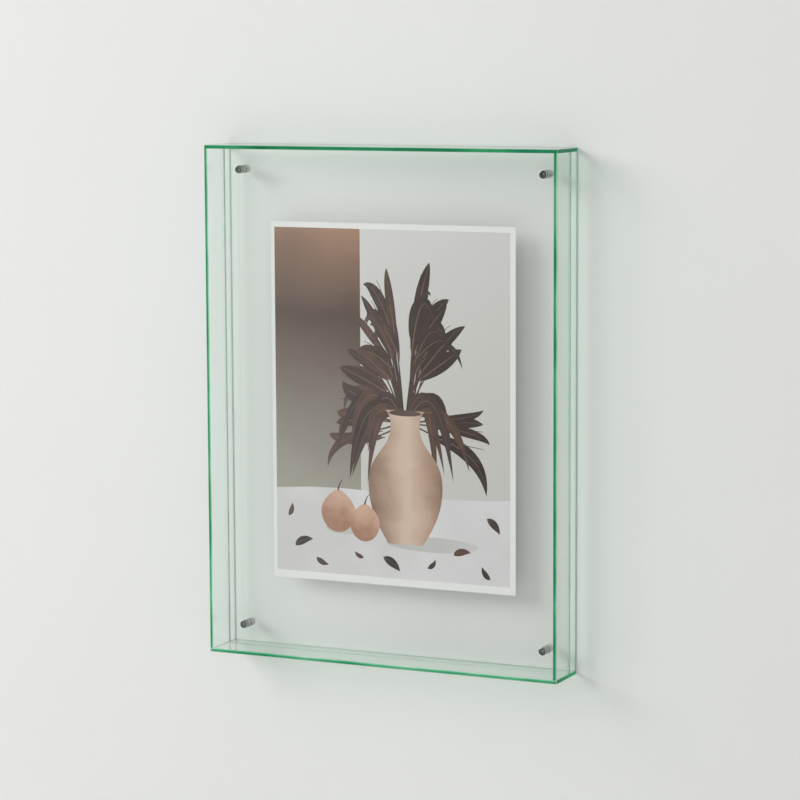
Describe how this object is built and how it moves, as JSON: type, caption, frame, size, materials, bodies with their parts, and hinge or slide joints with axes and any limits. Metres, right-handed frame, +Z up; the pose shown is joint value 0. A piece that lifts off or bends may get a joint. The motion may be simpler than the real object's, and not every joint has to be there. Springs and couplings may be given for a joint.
{
  "type": "wall-mounted display frame",
  "caption": "Shallow clear box frame for a wall; four round screw clamps hold a page-size print between two clear sheets.",
  "frame": {"origin": "on the wall's surface, at the centre of the box's back rim", "axes": "+Z up along the frame's height, +X to the right seen from the front, +Y into the wall; the open front faces -Y"},
  "size_m": [0.3, 0.04, 0.406],
  "materials": {
    "clear_sheet": "polished",
    "print_paper": "satin",
    "cap_steel": "satin",
    "rear_nut_steel": "satin",
    "stud_steel": "satin",
    "washer_nylon": "satin"
  },
  "bodies": {
    "wall_box": {"top_wall": "clear_sheet", "bottom_wall": "clear_sheet", "left_wall": "clear_sheet", "right_wall": "clear_sheet", "back_panel": "clear_sheet", "rear_nut_top_left": "rear_nut_steel", "rear_washer_top_left": "washer_nylon", "stud_top_left": "stud_steel", "rear_nut_top_right": "rear_nut_steel", "rear_washer_top_right": "washer_nylon", "stud_top_right": "stud_steel", "rear_nut_bottom_left": "rear_nut_steel", "rear_washer_bottom_left": "washer_nylon", "stud_bottom_left": "stud_steel", "rear_nut_bottom_right": "rear_nut_steel", "rear_washer_bottom_right": "washer_nylon", "stud_bottom_right": "stud_steel"},
    "front_sheet": {"front_sheet": "clear_sheet"},
    "print": {"print": "print_paper"},
    "cap_washer_top_left": {"cap_washer_top_left": "washer_nylon", "collar_top_left": "cap_steel"},
    "cap_nut_top_left": {"cap_nut_top_left": "cap_steel"},
    "cap_washer_top_right": {"cap_washer_top_right": "washer_nylon", "collar_top_right": "cap_steel"},
    "cap_nut_top_right": {"cap_nut_top_right": "cap_steel"},
    "cap_washer_bottom_left": {"cap_washer_bottom_left": "washer_nylon", "collar_bottom_left": "cap_steel"},
    "cap_nut_bottom_left": {"cap_nut_bottom_left": "cap_steel"},
    "cap_washer_bottom_right": {"cap_washer_bottom_right": "washer_nylon", "collar_bottom_right": "cap_steel"},
    "cap_nut_bottom_right": {"cap_nut_bottom_right": "cap_steel"}
  },
  "joints": [
    {"name": "front_sheet_slide", "type": "slide", "parent": "wall_box", "child": "front_sheet", "axis": [0, -1, 0], "range_m": [0, 0.06]},
    {"name": "print_slide", "type": "slide", "parent": "wall_box", "child": "print", "axis": [0, -1, 0], "range_m": [0, 0.03]},
    {"name": "cap_travel_top_left", "type": "slide", "parent": "front_sheet", "child": "cap_washer_top_left", "axis": [0, -1, 0], "range_m": [0, 0.0028]},
    {"name": "cap_turn_top_left", "type": "hinge", "parent": "cap_washer_top_left", "child": "cap_nut_top_left", "pos_m": [-0.13, -0.01725, 0.183], "axis": [0, -1, 0], "range_deg": [0, 1440]},
    {"name": "cap_travel_top_right", "type": "slide", "parent": "front_sheet", "child": "cap_washer_top_right", "axis": [0, -1, 0], "range_m": [0, 0.0028]},
    {"name": "cap_turn_top_right", "type": "hinge", "parent": "cap_washer_top_right", "child": "cap_nut_top_right", "pos_m": [0.13, -0.01725, 0.183], "axis": [0, -1, 0], "range_deg": [0, 1440]},
    {"name": "cap_travel_bottom_left", "type": "slide", "parent": "front_sheet", "child": "cap_washer_bottom_left", "axis": [0, -1, 0], "range_m": [0, 0.0028]},
    {"name": "cap_turn_bottom_left", "type": "hinge", "parent": "cap_washer_bottom_left", "child": "cap_nut_bottom_left", "pos_m": [-0.13, -0.01725, -0.183], "axis": [0, -1, 0], "range_deg": [0, 1440]},
    {"name": "cap_travel_bottom_right", "type": "slide", "parent": "front_sheet", "child": "cap_washer_bottom_right", "axis": [0, -1, 0], "range_m": [0, 0.0028]},
    {"name": "cap_turn_bottom_right", "type": "hinge", "parent": "cap_washer_bottom_right", "child": "cap_nut_bottom_right", "pos_m": [0.13, -0.01725, -0.183], "axis": [0, -1, 0], "range_deg": [0, 1440]}
  ],
  "couplings": [
    {"joint": "print_slide", "follows": "front_sheet_slide", "ratio": 0.5},
    {"joint": "cap_turn_top_left", "follows": "cap_travel_top_left", "rad_per_m": 8976},
    {"joint": "cap_turn_top_right", "follows": "cap_travel_top_right", "rad_per_m": 8976},
    {"joint": "cap_turn_bottom_left", "follows": "cap_travel_bottom_left", "rad_per_m": 8976},
    {"joint": "cap_turn_bottom_right", "follows": "cap_travel_bottom_right", "rad_per_m": 8976}
  ]
}
